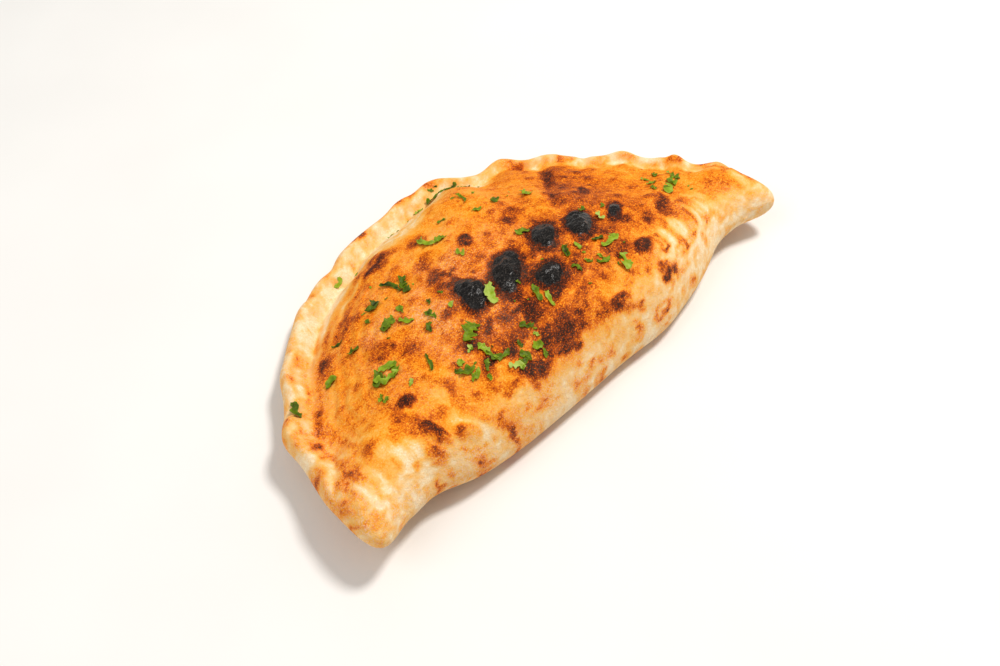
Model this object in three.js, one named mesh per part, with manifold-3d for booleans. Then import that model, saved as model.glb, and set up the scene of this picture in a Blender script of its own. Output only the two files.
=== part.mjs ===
// A baked calzone: a round of dough folded over its filling, pinched along the arc,
// risen and blistered, with chopped parsley on top. Millimetres, Z up.
// Worked out in the fold frame: x runs along the fold from the left tip to the right tip,
// y from the fold to the pinched rim, z up from the table. Moved to the middle at the end.
import * as THREE from 'three'
import { mergeVertices } from 'three/addons/utils/BufferGeometryUtils.js'
import Module from 'manifold-3d'

// Outline from above: half an ellipse closed by the fold
const HALF_LENGTH = 155.2
const DEPTH = 170
const ARC_SHIFT = 0.4
const CORNER_ROUND = 6
const ARC_REACH = 160

// Lobes of the pinched rim: angle round the arc from the right tip in degrees,
// half width, bulge outwards and extra height
const LOBES = [
  { at: 13.5, half: 8.5, bulge: 4.6, high: 2 },
  { at: 22.6, half: 8, bulge: 4.4, high: 2 },
  { at: 33, half: 8, bulge: 3.2, high: 2 },
  { at: 48.7, half: 12, bulge: 3.2, high: 2 },
  { at: 58.3, half: 11, bulge: 7.8, high: 1 },
  { at: 73.8, half: 15, bulge: 8.4, high: 1 },
  { at: 82.7, half: 10, bulge: 3.6, high: 1 },
  { at: 106, half: 8, bulge: -2.5, high: -1 },
  { at: 119.6, half: 9, bulge: 1, high: 1.5 },
  { at: 136.9, half: 9, bulge: 1.4, high: 1 },
  { at: 151.7, half: 12, bulge: 4.4, high: 1.5 },
  { at: 166.6, half: 8, bulge: 0.5, high: 2 }
]

// The fold: slightly curved, drawn in beside both tips
const FOLD_BASE = -3.8
const FOLD_CURVE = 0.00046
const FOLD_CURVE_AT = 25
const FOLD_SLOPE = 0.014
const FOLD_WAVES = [
  { at: -110.5, half: 16, inward: 4.8 },
  { at: 114, half: 23, inward: 7.2 },
  { at: 45, half: 22, inward: -3.1 }
]
const TIP_SPREAD = 10
const TIP_FROM = 128
const TIP_TO = 156

// Thickness of the edge, and the height of the dome above it
const RIM_THICKNESS = 13
const FOLD_THICKNESS = 25
const TIP_THICKNESS = 20
const FLANGE_WIDTH = 15
const FLANGE_WIDTH_RIGHT = 9
const LIP_RISE = 1.5
const DOME_RISE = 34
const LEFT_LOSS = 9
const RIGHT_LOSS = 18
const FOLD_SHOULDER = 25
const RIM_SHOULDER = 29

// Valley between the flange and the dome, deepest at an angle round the arc
const GROOVE_LEAST = 1.2
const GROOVE_DEPTH = 3
const GROOVE_HALF = 5
const GROOVE_AT = 104
const GROOVE_SPREAD = 28

// Both ends curl up off the table
const LEFT_LIFT = 13.2
const LEFT_LIFT_FROM = 55
const LEFT_LIFT_RUN = 90
const RIGHT_LIFT = 10.9
const RIGHT_LIFT_FROM = 68
const RIGHT_LIFT_RUN = 80
const LIFT_POWER = 1.4

// Blisters and burnt bubbles: place, half sizes, turn in degrees, rise
const BLISTERS = [
  { x: -32, y: 59, long: 14, short: 8, turn: 70, rise: 3.6 },
  { x: -9, y: 56, long: 18, short: 8.5, turn: 42, rise: 4.4 },
  { x: 3, y: 38.5, long: 9.5, short: 7.5, turn: 40, rise: 3.8 },
  { x: 25, y: 62, long: 13, short: 7, turn: 50, rise: 3 },
  { x: 43, y: 53, long: 15, short: 7.5, turn: 40, rise: 3.4 },
  { x: 69, y: 49.5, long: 8.5, short: 5, turn: 30, rise: 1.6 },
  { x: -3, y: 91, long: 7, short: 4.5, turn: 60, rise: 1.4 },
  { x: 57, y: 21, long: 8, short: 5, turn: 20, rise: 1.8 },
  { x: 58, y: 6, long: 8, short: 4.5, turn: 0, rise: 1.6 },
  { x: -94, y: 41, long: 6, short: 5, turn: 0, rise: 1.8 },
  { x: -98, y: 20, long: 8, short: 4, turn: 105, rise: 2 },
  { x: -86, y: 11, long: 7, short: 4, turn: 330, rise: 1.8 },
  { x: -104, y: 13, long: 6, short: 4.5, turn: 150, rise: 1.6 },
  { x: -19, y: 31, long: 6, short: 5, turn: 40, rise: 1.5 },
  { x: -15, y: 12, long: 14, short: 8, turn: 345, rise: 1.4 },
  { x: -36, y: 9, long: 8, short: 4, turn: 335, rise: 1.2 },
  { x: 23, y: 7, long: 7, short: 4, turn: 340, rise: 1.6 },
  { x: -61, y: 2, long: 11, short: 6, turn: 0, rise: 1.8 },
  { x: -79, y: 76, long: 9, short: 7, turn: 100, rise: 1.4 },
  { x: -30, y: 86, long: 9, short: 5.5, turn: 60, rise: 1.4 },
  { x: -35, y: 133, long: 13, short: 8, turn: 10, rise: 1.8 }
]

// Creases: a tuck over the right shoulder, a pleat and dents in the flange, start and end
const CREASES = [
  { x1: 92, y1: 122, x2: 48, y2: 74, half: 3.2, depth: 2 },
  { x1: -66, y1: 153, x2: -42, y2: 148, half: 3, depth: 2.6 },
  { x1: -146, y1: 29, x2: -128, y2: 40, half: 5, depth: 1.8 },
  { x1: -103, y1: 116, x2: -101, y2: 113, half: 2.6, depth: 2.4 },
  { x1: -134, y1: 98, x2: -124, y2: 88, half: 4, depth: 2.6 },
  { x1: 118, y1: 112, x2: 108, y2: 104, half: 3.4, depth: 2 },
  { x1: 143, y1: 70, x2: 128, y2: 62, half: 3.4, depth: 2.2 }
]

// Long low ridges on the flank beside the left part of the rim
const RIDGE_RISE = 0.3
const RIDGE_STEP = 6.5

// Chopped parsley, the larger leaves one by one: place, length, width and turn in degrees
const LEAVES = [
  { x: -26, y: 50, length: 12.5, width: 5.5, turn: 68 },
  { x: -49, y: 43, length: 10.5, width: 8.5, turn: 10 },
  { x: -10, y: 35, length: 10, width: 4, turn: 62 },
  { x: -8, y: 28, length: 9, width: 2.4, turn: 70 },
  { x: 42, y: 32, length: 14, width: 5, turn: 8 },
  { x: 39, y: 19, length: 9, width: 6, turn: 55 },
  { x: 30, y: 26, length: 8, width: 3, turn: 340 },
  { x: 20, y: 42, length: 7.5, width: 4, turn: 60 },
  { x: 15, y: 31, length: 6, width: 3, turn: 100 },
  { x: -12, y: 112, length: 13, width: 5.5, turn: 95 },
  { x: -8, y: 105, length: 6, width: 4, turn: 350 },
  { x: -66, y: 85, length: 9.5, width: 6, turn: 10 },
  { x: -56, y: 85, length: 6, width: 3.4, turn: 70 },
  { x: -60, y: 77, length: 8, width: 3, turn: 125 },
  { x: -52, y: 68, length: 8, width: 3, turn: 95 },
  { x: -60, y: 103, length: 8, width: 6, turn: 20 },
  { x: -46, y: 104, length: 15, width: 3, turn: 95 },
  { x: -43, y: 96, length: 9, width: 5, turn: 80 },
  { x: -40, y: 101, length: 8, width: 4, turn: 45 },
  { x: -94, y: 63, length: 9, width: 5.5, turn: 30 },
  { x: -86, y: 64, length: 9, width: 5, turn: 150 },
  { x: -90, y: 57, length: 10, width: 5, turn: 355 },
  { x: -84, y: 60, length: 7, width: 4.5, turn: 70 },
  { x: -103, y: 88, length: 7.5, width: 4, turn: 0 },
  { x: -125, y: 89, length: 11, width: 4.6, turn: 70 },
  { x: -66, y: 31, length: 10, width: 4, turn: 325 },
  { x: -51, y: 30, length: 12, width: 3, turn: 100 },
  { x: -48, y: 25, length: 10, width: 4, turn: 340 },
  { x: -46, y: 16, length: 8, width: 4, turn: 330 },
  { x: -41, y: 15, length: 8, width: 3.6, turn: 20 },
  { x: -27, y: 27, length: 7, width: 3.2, turn: 320 },
  { x: -30, y: 17, length: 6, width: 4, turn: 340 },
  { x: -73, y: 48, length: 12, width: 1.8, turn: 60 },
  { x: 110, y: 43, length: 11, width: 6, turn: 35 },
  { x: 118, y: 48, length: 8, width: 5, turn: 60 },
  { x: 0, y: 153, length: 9, width: 4.4, turn: 5 },
  { x: 22, y: 155, length: 8, width: 4, turn: 20 },
  { x: 35, y: 156, length: 9, width: 4.2, turn: 345 },
  { x: 44, y: 154, length: 10, width: 4, turn: 340 },
  { x: 54, y: 150, length: 8, width: 2.4, turn: 325 },
  { x: -45, y: 150, length: 7, width: 2.6, turn: 20 },
  { x: 24, y: 121, length: 11, width: 1.8, turn: 75 },
  { x: 34, y: 104, length: 6, width: 4.4, turn: 40 },
  { x: 50, y: 96, length: 8, width: 5, turn: 70 }
]

// The small flakes fall in loose groups: middle, spread and number
const FLAKE_GROUPS = [
  { x: 114, y: 54, spread: 13, count: 8 },
  { x: 46, y: 154, spread: 12, count: 4 },
  { x: -46, y: 66, spread: 12, count: 4 },
  { x: -60, y: 28, spread: 13, count: 6 },
  { x: -34, y: 20, spread: 10, count: 4 },
  { x: -95, y: 54, spread: 13, count: 5 },
  { x: 28, y: 34, spread: 12, count: 4 },
  { x: 10, y: 92, spread: 26, count: 4 },
  { x: -76, y: 92, spread: 18, count: 4 },
  { x: 58, y: 56, spread: 12, count: 3 }
]
const FLAKE_SHORTEST = 2.6
const FLAKE_LONGEST = 5.6
const FLAKE_NARROWEST = 0.4
const FLAKE_WIDEST = 0.75
const FLAKE_SEED = 20811
const SHAPE_SEED = 4127
const LEAF_POINTS = 8
const FLAKE_POINTS = 6
const LEAF_THICKNESS = 1.5
const LEAF_STAND = 0.6
const LEAF_WAVE = 0.35
const LEAF_BEND = 0.3

// Fineness of the crust
const COLUMNS = 86
const TOP_MIDDLE_ROWS = 24
const BOTTOM_MIDDLE_ROWS = 3
const EDGE_STEPS = [0, 0.05, 0.2, 0.44, 0.72]
const EDGE_REACH = 16
const OUTLINE_RAYS = 1440
const HALVINGS = 36

const CRUST_COLOUR = 0xd9a05f
const CRUST_ROUGHNESS = 0.75
const FAR = 400
const MIDDLE = { x: 0, y: 66 }
const TINY = 1e-6

// Small helpers
function bump(t) {
  return Math.exp(-t * t)
}

function ramp(from, to, value) {
  const t = Math.min(Math.max((value - from) / (to - from), 0), 1)
  return t * t * (3 - 2 * t)
}

function radians(degrees) {
  return (degrees * Math.PI) / 180
}

function makeDraw(seed) {
  let state = seed
  return function draw() {
    state = (state * 1664525 + 1013904223) % 4294967296
    return state / 4294967296
  }
}

function arcAngle(x, y) {
  return Math.atan2(y / DEPTH, (x - ARC_SHIFT) / HALF_LENGTH)
}

// Sum of the lobes near a point, for the bulge or for the extra height
function lobeSum(x, y, kind) {
  const angle = arcAngle(x, y)
  let sum = 0
  for (const lobe of LOBES) {
    const along = (angle - radians(lobe.at)) * ARC_REACH
    sum += lobe[kind] * bump(along / lobe.half)
  }
  return sum
}

// Distance in from the pinched rim
function fromRim(x, y) {
  const across = x - ARC_SHIFT
  const rho = Math.hypot(across / HALF_LENGTH, y / DEPTH)
  const slope = Math.hypot(across / HALF_LENGTH ** 2, y / DEPTH ** 2) / Math.max(rho, TINY)
  return (1 - rho) / Math.max(slope, TINY) + lobeSum(x, y, 'bulge')
}

function foldLine(x) {
  let y = FOLD_BASE + FOLD_CURVE * (x - FOLD_CURVE_AT) ** 2 + FOLD_SLOPE * x
  for (const wave of FOLD_WAVES) {
    y += wave.inward * bump((x - wave.at) / wave.half)
  }
  return y - TIP_SPREAD * ramp(TIP_FROM, TIP_TO, Math.abs(x))
}

// Distance in from the fold
function fromFold(x, y) {
  return y - foldLine(x)
}

// Distance in from the nearer edge, rounded where the rim meets the fold
function inset(x, y) {
  const rim = fromRim(x, y)
  const fold = fromFold(x, y)
  const least = Math.min(rim, fold)
  const share = Math.exp((least - rim) / CORNER_ROUND) + Math.exp((least - fold) / CORNER_ROUND)
  return least - CORNER_ROUND * Math.log(share)
}

function lift(x) {
  const left = Math.max((-x - LEFT_LIFT_FROM) / LEFT_LIFT_RUN, 0)
  const right = Math.max((x - RIGHT_LIFT_FROM) / RIGHT_LIFT_RUN, 0)
  return LEFT_LIFT * left ** LIFT_POWER + RIGHT_LIFT * right ** LIFT_POWER
}

// Thin at the pinched rim, thick at the fold, in between at the tips
function edgeThickness(x, y) {
  const rim = Math.max(fromRim(x, y), 0)
  const fold = Math.max(fromFold(x, y), 0)
  const side = ramp(0.25, 0.8, rim / (rim + fold + TINY))
  const plain = RIM_THICKNESS + (FOLD_THICKNESS - RIM_THICKNESS) * side
  const tip = (1 - ramp(20, 62, fold)) * ramp(95, 140, Math.abs(x))
  return plain + (TIP_THICKNESS - plain) * tip
}

// Share of the full thickness: a half round at the very edge
function roundness(x, y, thickness) {
  const share = Math.min(Math.max(inset(x, y) / (0.5 * thickness), 0), 1)
  return Math.sqrt(Math.max(1 - (1 - share) ** 2, 0))
}

// Uneven dough: broad swells, and small ones
function swell(x, y) {
  const broad = 1.5 * Math.sin(x / 21 + 1) * Math.sin(y / 17 + 0.6)
  const middling = Math.sin(x / 11 - y / 14 + 2)
  const small = 0.8 * Math.sin(x / 8.5 + y / 10.5)
  return broad + middling + small
}

function blisterRise(x, y) {
  let rise = 0
  for (const spot of BLISTERS) {
    const c = Math.cos(radians(spot.turn))
    const s = Math.sin(radians(spot.turn))
    const u = ((x - spot.x) * c + (y - spot.y) * s) / spot.long
    const v = ((y - spot.y) * c - (x - spot.x) * s) / spot.short
    const ragged = 1 + 0.1 * Math.sin(3 * Math.atan2(v, u) + spot.x)
    rise += spot.rise * Math.max(1 - (u * u + v * v) / ragged, 0) ** 0.8
  }
  return rise
}

function creaseDepth(x, y) {
  let depth = 0
  for (const crease of CREASES) {
    const runX = crease.x2 - crease.x1
    const runY = crease.y2 - crease.y1
    const part = ((x - crease.x1) * runX + (y - crease.y1) * runY) / (runX ** 2 + runY ** 2)
    const along = Math.min(Math.max(part, 0), 1)
    const gap = Math.hypot(x - crease.x1 - along * runX, y - crease.y1 - along * runY)
    depth += crease.depth * bump(gap / crease.half)
  }
  return depth
}

function ridgeRise(x, y, rim) {
  const flank = ramp(20, 30, rim) * (1 - ramp(50, 66, rim))
  const left = ramp(20, 60, -x) * ramp(40, 70, y)
  return RIDGE_RISE * flank * left * Math.sin((2 * Math.PI * rim) / RIDGE_STEP + x / 15)
}

function topHeight(x, y) {
  const rim = fromRim(x, y)
  const fold = fromFold(x, y)
  const thickness = edgeThickness(x, y)
  const full = roundness(x, y, thickness)
  const flange = ramp(26, 52, fold)
  const angle = (arcAngle(x, y) * 180) / Math.PI
  const valley = FLANGE_WIDTH_RIGHT + (FLANGE_WIDTH - FLANGE_WIDTH_RIGHT) * ramp(45, 85, angle)
  const inner = Math.max(rim - valley * flange, 0)
  const foldSide = (1 - Math.exp(-Math.max(fold, 0) / FOLD_SHOULDER)) ** 0.9
  const rimSide = 1 - Math.exp(-inner / RIM_SHOULDER)
  const rise = DOME_RISE - LEFT_LOSS * ramp(20, 130, -x) - RIGHT_LOSS * ramp(30, 130, x)
  const deep = GROOVE_LEAST + GROOVE_DEPTH * bump((angle - GROOVE_AT) / GROOVE_SPREAD)
  const groove = deep * bump((rim - valley) / GROOVE_HALF) * flange
  const lip = (LIP_RISE + lobeSum(x, y, 'high')) * bump((rim - 5) / 5) * flange
  const uneven = swell(x, y) * ramp(4, 30, rim) * ramp(2, 25, fold)
  const relief = uneven + lip - groove + blisterRise(x, y) + ridgeRise(x, y, rim)
  const crown = rise * foldSide * rimSide + relief - creaseDepth(x, y)
  return lift(x) + 0.5 * thickness * (1 + full) + full * crown
}

function bottomHeight(x, y) {
  const thickness = edgeThickness(x, y)
  return lift(x) + 0.5 * thickness * (1 - roundness(x, y, thickness))
}

// The outline, found by halving along rays from the middle
function traceOutline() {
  const points = []
  for (let i = 0; i < OUTLINE_RAYS; i++) {
    const angle = (2 * Math.PI * i) / OUTLINE_RAYS
    let near = 0
    let far = FAR
    for (let n = 0; n < HALVINGS; n++) {
      const half = (near + far) / 2
      const inside = inset(MIDDLE.x + half * Math.cos(angle), MIDDLE.y + half * Math.sin(angle)) > 0
      if (inside) near = half
      else far = half
    }
    points.push({ x: MIDDLE.x + near * Math.cos(angle), y: MIDDLE.y + near * Math.sin(angle) })
  }
  return points
}

// Index of the outline point furthest out in a direction
function furthest(points, dx, dy) {
  let best = 0
  points.forEach((p, i) => {
    if (p.x * dx + p.y * dy > points[best].x * dx + points[best].y * dy) best = i
  })
  return best
}

// Points spaced along a run of the outline, closer together near both ends
function spaced(points, from, to) {
  const step = Math.sign(to - from)
  const path = []
  for (let i = from; i !== to + step; i += step) {
    path.push(points[(i + 2 * points.length) % points.length])
  }
  const lengths = [0]
  for (let i = 1; i < path.length; i++) {
    lengths.push(lengths[i - 1] + Math.hypot(path[i].x - path[i - 1].x, path[i].y - path[i - 1].y))
  }
  const total = lengths[lengths.length - 1]
  const out = []
  let at = 0
  for (let k = 0; k <= COLUMNS; k++) {
    const even = k / COLUMNS
    const eased = (1 - Math.cos(Math.PI * even)) / 2
    const target = total * (0.6 * even + 0.4 * eased)
    while (at < path.length - 2 && lengths[at + 1] < target) at++
    const part = Math.min((target - lengths[at]) / (lengths[at + 1] - lengths[at]), 1)
    out.push({
      x: path[at].x + part * (path[at + 1].x - path[at].x),
      y: path[at].y + part * (path[at + 1].y - path[at].y)
    })
  }
  return out
}

// Shares of a column from the fold to the rim, close together at both edges
function rowShares(width, middleRows) {
  const reach = Math.min(EDGE_REACH / Math.max(width, TINY), 0.3)
  const near = EDGE_STEPS.map((step) => step * reach)
  const middle = []
  for (let i = 0; i <= middleRows; i++) {
    middle.push(reach + ((1 - 2 * reach) * i) / middleRows)
  }
  const far = [...near].reverse().map((share) => 1 - share)
  return [...near, ...middle, ...far]
}

// Grid of points over one face, all columns with the same number of rows
function sheet(foldPoints, rimPoints, middleRows, height) {
  return foldPoints.map((start, k) => {
    const end = rimPoints[k]
    const width = Math.hypot(end.x - start.x, end.y - start.y)
    const shares = rowShares(width, middleRows)
    return shares.map((share, m) => {
      const x = start.x + share * (end.x - start.x)
      const y = start.y + share * (end.y - start.y)
      const edge = m === 0 || m === shares.length - 1 || width < TINY
      const level = lift(x) + 0.5 * edgeThickness(x, y)
      return [x, y, edge ? level : height(x, y)]
    })
  })
}

function pushTriangle(list, a, b, c) {
  const same = (p, q) => Math.hypot(p[0] - q[0], p[1] - q[1], p[2] - q[2]) < TINY
  if (same(a, b) || same(b, c) || same(a, c)) return
  list.push(...a, ...b, ...c)
}

function pushSheet(list, grid, upwards) {
  for (let k = 0; k + 1 < grid.length; k++) {
    for (let m = 0; m + 1 < grid[k].length; m++) {
      const a = grid[k][m]
      const b = grid[k + 1][m]
      const c = grid[k + 1][m + 1]
      const d = grid[k][m + 1]
      if (upwards) {
        pushTriangle(list, a, b, c)
        pushTriangle(list, a, c, d)
      } else {
        pushTriangle(list, a, c, b)
        pushTriangle(list, a, d, c)
      }
    }
  }
}

function geometryFrom(list) {
  const geometry = new THREE.BufferGeometry()
  geometry.setAttribute('position', new THREE.Float32BufferAttribute(list, 3))
  return mergeVertices(geometry, 1e-4)
}

function buildCrust(foldPoints, rimPoints) {
  const list = []
  pushSheet(list, sheet(foldPoints, rimPoints, TOP_MIDDLE_ROWS, topHeight), true)
  pushSheet(list, sheet(foldPoints, rimPoints, BOTTOM_MIDDLE_ROWS, bottomHeight), false)
  return geometryFrom(list)
}

// The larger leaves, then the small flakes drawn round each group
function leafPlaces(draw) {
  const places = LEAVES.map((leaf) => ({ ...leaf, points: LEAF_POINTS }))
  for (const group of FLAKE_GROUPS) {
    for (let n = 0; n < group.count; n++) {
      const angle = (2 * Math.PI * (n + 0.6 * draw())) / group.count
      const distance = group.spread * (0.35 + 0.65 * draw())
      const length = FLAKE_SHORTEST + (FLAKE_LONGEST - FLAKE_SHORTEST) * draw()
      places.push({
        x: group.x + distance * Math.cos(angle),
        y: group.y + distance * Math.sin(angle),
        length,
        width: length * (FLAKE_NARROWEST + (FLAKE_WIDEST - FLAKE_NARROWEST) * draw()),
        turn: 360 * draw(),
        points: FLAKE_POINTS
      })
    }
  }
  return places
}

// One thin wavy leaf lying on the crust, both faces split alike
function buildLeaf(leaf, draw) {
  const c = Math.cos(radians(leaf.turn))
  const s = Math.sin(radians(leaf.turn))
  const bend = (draw() - 0.5) * LEAF_BEND
  const phase = draw() * 2 * Math.PI
  const place = (u, v, offset) => {
    const bent = v + bend * leaf.length * (1 - ((2 * u) / leaf.length) ** 2)
    const x = leaf.x + u * c - bent * s
    const y = leaf.y + u * s + bent * c
    const curl = LEAF_WAVE * Math.sin(u * 1.1 + phase) * Math.min(Math.hypot(u, v) / 2, 1)
    return [x, y, topHeight(x, y) + offset + curl]
  }
  const upper = []
  const lower = []
  for (let i = 0; i < leaf.points; i++) {
    const angle = (2 * Math.PI * (i + 0.35 * (draw() - 0.5))) / leaf.points
    const ragged = 0.72 + 0.28 * draw()
    const u = 0.5 * leaf.length * ragged * Math.cos(angle)
    const v = 0.5 * leaf.width * ragged * Math.sin(angle)
    upper.push(place(u, v, LEAF_STAND))
    lower.push(place(u, v, LEAF_STAND - LEAF_THICKNESS))
  }
  const upperMiddle = place(0, 0, LEAF_STAND)
  const lowerMiddle = place(0, 0, LEAF_STAND - LEAF_THICKNESS)
  const list = []
  for (let i = 0; i < leaf.points; i++) {
    const j = (i + 1) % leaf.points
    pushTriangle(list, upperMiddle, upper[i], upper[j])
    pushTriangle(list, lowerMiddle, lower[j], lower[i])
    pushTriangle(list, upper[i], lower[i], lower[j])
    pushTriangle(list, upper[i], lower[j], upper[j])
  }
  return geometryFrom(list)
}

const outline = traceOutline()
const rightTip = furthest(outline, 1, -0.35)
const leftTip = furthest(outline, -1, -0.35)
// The fold runs from the left tip on to the right tip; the arc runs back the other way round
const foldRun = spaced(outline, leftTip, rightTip < leftTip ? rightTip + outline.length : rightTip)
const rimRun = spaced(outline, leftTip, rightTip > leftTip ? rightTip - outline.length : rightTip)

const wasm = await Module()
wasm.setup()

function toManifold(geometry) {
  const mesh = new wasm.Mesh({
    numProp: 3,
    vertProperties: new Float32Array(geometry.attributes.position.array),
    triVerts: new Uint32Array(geometry.index.array)
  })
  return new wasm.Manifold(mesh)
}

let whole = toManifold(buildCrust(foldRun, rimRun))
const drawShape = makeDraw(SHAPE_SEED)
for (const leaf of leafPlaces(makeDraw(FLAKE_SEED))) {
  whole = whole.add(toManifold(buildLeaf(leaf, drawShape)))
}
// Only the largest body is kept, so no loose scrap of leaf stays
const bodies = whole.decompose()
bodies.sort((a, b) => b.volume() - a.volume())
const fused = bodies[0].getMesh()

// Middle of the outline over the origin, underside at zero
const xs = [...foldRun, ...rimRun].map((p) => p.x)
const ys = [...foldRun, ...rimRun].map((p) => p.y)
const centreX = (Math.min(...xs) + Math.max(...xs)) / 2
const centreY = (Math.min(...ys) + Math.max(...ys)) / 2

const loose = new THREE.BufferGeometry()
loose.setAttribute('position', new THREE.BufferAttribute(fused.vertProperties, 3))
loose.setIndex(new THREE.BufferAttribute(fused.triVerts, 1))
loose.translate(-centreX, -centreY, 0)
loose.computeVertexNormals()

const material = new THREE.MeshStandardMaterial({
  color: CRUST_COLOUR,
  roughness: CRUST_ROUGHNESS,
  metalness: 0
})
const calzone = new THREE.Mesh(loose, material)
calzone.name = 'calzone'

const group = new THREE.Group()
group.name = 'baked_calzone'
group.add(calzone)

export default group
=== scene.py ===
"""A baked calzone with chopped parsley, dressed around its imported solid.

Shapes are worked out in the fold frame, in millimetres: x along the fold from the left tip to the
right tip, y from the fold to the pinched rim, z up. They are moved to the part's frame, in metres,
when a piece is made.
"""

import math

import bpy
import numpy as np
from mathutils import Matrix, Vector


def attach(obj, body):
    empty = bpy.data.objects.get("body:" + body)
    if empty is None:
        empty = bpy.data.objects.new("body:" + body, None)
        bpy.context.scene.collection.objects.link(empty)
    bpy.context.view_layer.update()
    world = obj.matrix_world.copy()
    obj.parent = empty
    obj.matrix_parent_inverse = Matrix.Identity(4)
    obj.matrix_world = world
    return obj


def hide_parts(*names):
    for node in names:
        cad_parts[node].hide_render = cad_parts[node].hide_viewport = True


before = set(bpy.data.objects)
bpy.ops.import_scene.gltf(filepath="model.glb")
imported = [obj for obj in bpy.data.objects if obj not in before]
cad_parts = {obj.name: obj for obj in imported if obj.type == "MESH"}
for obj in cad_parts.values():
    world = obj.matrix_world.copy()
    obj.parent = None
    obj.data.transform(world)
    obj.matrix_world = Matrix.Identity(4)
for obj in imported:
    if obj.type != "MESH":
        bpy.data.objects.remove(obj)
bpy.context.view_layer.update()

MM = 0.001

# Outline from above: half an ellipse closed by the fold
HALF_LENGTH = 155.2
DEPTH = 170.0
ARC_SHIFT = 0.4
CORNER_ROUND = 6.0
ARC_REACH = 160.0

# Lobes of the pinched rim: angle round the arc from the right tip in degrees,
# half width, bulge outwards and extra height
LOBES = [
    (13.5, 8.5, 4.6, 2.0),
    (22.6, 8.0, 4.4, 2.0),
    (33.0, 8.0, 3.2, 2.0),
    (48.7, 12.0, 3.2, 2.0),
    (58.3, 11.0, 7.8, 1.0),
    (73.8, 15.0, 8.4, 1.0),
    (82.7, 10.0, 3.6, 1.0),
    (106.0, 8.0, -2.5, -1.0),
    (119.6, 9.0, 1.0, 1.5),
    (136.9, 9.0, 1.4, 1.0),
    (151.7, 12.0, 4.4, 1.5),
    (166.6, 8.0, 0.5, 2.0),
]

# The fold: slightly curved, drawn in beside both tips. Waves: place, half width, inward reach
FOLD_BASE = -3.8
FOLD_CURVE = 0.00046
FOLD_CURVE_AT = 25.0
FOLD_SLOPE = 0.014
FOLD_WAVES = [(-110.5, 16.0, 4.8), (114.0, 23.0, 7.2), (45.0, 22.0, -3.1)]
TIP_SPREAD = 10.0
TIP_FROM = 128.0
TIP_TO = 156.0

# Thickness of the edge, and the height of the dome above it
RIM_THICKNESS = 13.0
FOLD_THICKNESS = 25.0
TIP_THICKNESS = 20.0
FLANGE_WIDTH = 15.0
FLANGE_WIDTH_RIGHT = 9.0
GROOVE_LEAST = 1.2
GROOVE_DEPTH = 3.0
GROOVE_HALF = 5.0
GROOVE_AT = 104.0
GROOVE_SPREAD = 28.0
LIP_RISE = 1.5

# The far side of the dome is up to this much lower than the solid's, so that the groove shows
FAR_SIDE_EASED = 2.8

# The dome, and how much lower it is at either end
DOME_RISE = 34.0
LEFT_LOSS = 9.0
RIGHT_LOSS = 18.0
FOLD_SHOULDER = 25.0
RIM_SHOULDER = 29.0

# Both ends curl up off the table
LEFT_LIFT = 13.2
LEFT_LIFT_FROM = 55.0
LEFT_LIFT_RUN = 90.0
RIGHT_LIFT = 10.9
RIGHT_LIFT_FROM = 68.0
RIGHT_LIFT_RUN = 80.0
LIFT_POWER = 1.4

# Blisters and burnt bubbles: place, half sizes, turn in degrees, rise, how burnt.
# The ones that are burnt more than BLACK_FROM are black, the others brown
BLACK_FROM = 0.75
BLISTERS = [
    (-32, 59, 13.5, 7.5, 70, 3.6, 1),
    (-9, 56, 18, 8.5, 42, 4.4, 1),
    (3, 38.5, 9.5, 7.5, 40, 3.8, 1),
    (23, 60, 12, 7, 50, 3, 0.96),
    (42, 52, 14, 7.5, 40, 3.4, 1),
    (68, 49.5, 8, 4, 30, 1.6, 0.78),
    (-3, 91, 7, 4.5, 60, 1.4, 0.6),
    (57, 21, 8, 4.5, 20, 1.8, 0.54),
    (57, 6, 7, 4.4, 0, 1.6, 0.74),
    (-95, 41, 5.5, 4.5, 0, 1.8, 0.62),
    (-98, 20, 8, 4, 105, 2, 0.72),
    (-86, 11, 6.5, 3.6, 330, 1.8, 0.66),
    (-104, 13, 5.5, 3.6, 150, 1.6, 0.56),
    (-19, 31, 5.5, 4.4, 40, 1.5, 0.66),
    (-15, 13, 15, 9, 345, 1.4, 0.45),
    (-36, 9, 8, 4, 335, 1.2, 0.5),
    (23, 7, 7, 4.4, 340, 1.6, 0.7),
    (-61, 2, 11, 6, 0, 1.8, 0.3),
    (-79, 76, 9, 7, 100, 1.4, 0.3),
    (-30, 86, 9, 5.5, 60, 1.4, 0.4),
    (-35, 134, 13, 9, 20, 1.8, 0.54),
]

# Creases: a tuck over the right shoulder, a pleat and dents in the flange.
# Start, end, half width, depth
CREASES = [
    (92, 122, 48, 74, 3.2, 2),
    (-66, 153, -42, 148, 3, 2.6),
    (-146, 29, -128, 40, 5, 1.8),
    (-103, 116, -101, 113, 2.6, 2.4),
    (-134, 98, -124, 88, 4, 2.6),
    (118, 112, 108, 104, 3.4, 2),
    (143, 70, 128, 62, 3.4, 2.2),
]

# The tuck over the right shoulder, browner on its right side than on its left. Start and end
TUCK = (44, 72, 92, 126)

# Long low ridges on the flank beside the left part of the rim
RIDGE_RISE = 0.3
RIDGE_STEP = 6.5

# Browning runs from 0, pale dough, to 1, black
PALEST = 0.06
PALE_DOUGH = 0.18
TOASTED = 0.4
DARKEST = 0.97

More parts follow.
